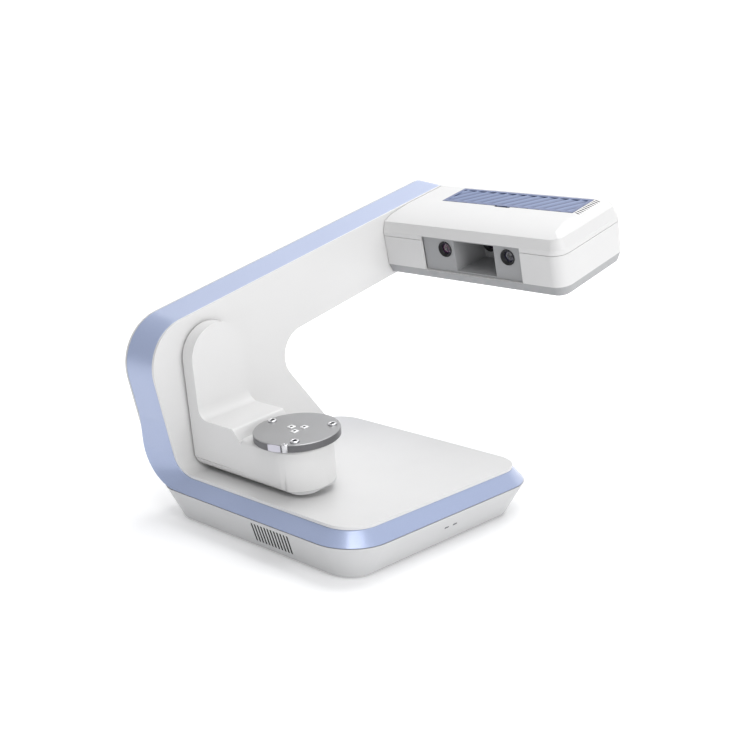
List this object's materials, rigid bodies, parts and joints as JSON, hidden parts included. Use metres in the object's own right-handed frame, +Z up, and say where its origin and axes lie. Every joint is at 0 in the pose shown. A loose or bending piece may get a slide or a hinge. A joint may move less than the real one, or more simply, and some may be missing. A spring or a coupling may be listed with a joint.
{
  "type": "desktop 3-D scanner",
  "caption": "Desktop scanner: a sloping head on a leaning wall looks down on a turntable carried by a motor-driven swing arm over a low base.",
  "frame": {"origin": "middle of the footprint, on the surface it stands on", "axes": "+X from the wall toward the free end of the head and base, +Y along the leaning arm toward the head, +Z up"},
  "size_m": [0.2644, 0.4164, 0.2777],
  "materials": {
    "white": "satin white paint over moulded plastic",
    "cool_white": "satin light grey",
    "pale_blue": "pearl pale blue",
    "vent_blue": "satin blue",
    "steel": "machined",
    "disc_metal": "dark brushed, polished edge",
    "alloy": "machined",
    "brass": "machined",
    "dark_plastic": "matt black",
    "rubber": "matt",
    "lens_glass": "coated lens",
    "board_green": "solder mask",
    "light_guide": "clear light guide",
    "cable": "matt flat cable"
  },
  "bodies": {
    "chassis": {"lower_shell": "cool_white", "side_band": "pale_blue", "front_cover": "white", "rear_cover": "white", "ballast_plate": "steel", "wall_frame": "alloy", "swing_bearings": "steel", "swing_seal": "rubber", "swing_motor": "dark_plastic", "head_top_cover": "white", "head_lower_shell": "cool_white", "vent_panel": "vent_blue", "optics_bezel": "cool_white", "camera_bodies": "dark_plastic", "camera_barrels": "dark_plastic", "camera_lenses": "lens_glass", "projector_body": "dark_plastic", "projector_barrel": "dark_plastic", "projector_lens": "lens_glass", "head_bracket": "alloy", "head_fan_frame": "dark_plastic", "head_screws": "steel", "main_board": "board_green", "board_standoffs": "brass", "board_chips": "dark_plastic", "power_inlet": "dark_plastic", "usb_port": "steel", "status_lights": "light_guide", "rubber_feet": "rubber", "base_screws": "steel", "rear_screws": "steel", "head_harness": "cable", "bracket_screws": "steel"},
    "swing_arm": {"arm_casing": "white", "arm_bottom_cover": "cool_white", "arm_screws": "steel", "swing_shaft": "steel", "swing_gear": "alloy", "drive_bracket": "alloy", "table_bearings": "steel", "table_motor": "dark_plastic"},
    "swing_rotor": {"swing_pinion": "brass"},
    "turntable": {"turntable_disc": "disc_metal", "index_pin": "steel", "table_spindle": "steel", "table_gear": "alloy", "clamp_screws": "steel", "locating_keys": "steel"},
    "table_rotor": {"table_pinion": "brass"},
    "fan": {"head_fan_rotor": "dark_plastic"},
    "button": {"power_button": "pale_blue"}
  },
  "joints": [
    {"name": "arm_swing", "type": "hinge", "parent": "chassis", "child": "swing_arm", "pos_m": [-0.08875, -0.1448, 0.14899], "axis": [1, 0, 0], "range_deg": [-66, 24]},
    {"name": "swing_pinion_spin", "type": "hinge", "parent": "chassis", "child": "swing_rotor", "pos_m": [-0.10875, -0.10606, 0.15894], "axis": [1, 0, 0], "range_deg": [-80, 205]},
    {"name": "table_spin", "type": "hinge", "parent": "swing_arm", "child": "turntable", "pos_m": [0.01725, -0.1448, 0.14899], "axis": [0, -0.1045, 0.9945], "continuous": true},
    {"name": "table_pinion_spin", "type": "hinge", "parent": "swing_arm", "child": "table_rotor", "pos_m": [-0.01075, -0.1448, 0.14899], "axis": [0, -0.1045, 0.9945], "continuous": true},
    {"name": "fan_spin", "type": "hinge", "parent": "chassis", "child": "fan", "pos_m": [0.07475, 0.16312, 0.25634], "axis": [0, -0.2487, 0.9686], "continuous": true},
    {"name": "button_press", "type": "slide", "parent": "chassis", "child": "button", "axis": [1, 0, 0], "range_m": [0, 0.0015], "stiffness_N_per_m": 400, "springref_m": -0.001}
  ],
  "couplings": [
    {"joint": "swing_pinion_spin", "follows": "arm_swing", "ratio": -3},
    {"joint": "table_pinion_spin", "follows": "table_spin", "ratio": -3}
  ]
}
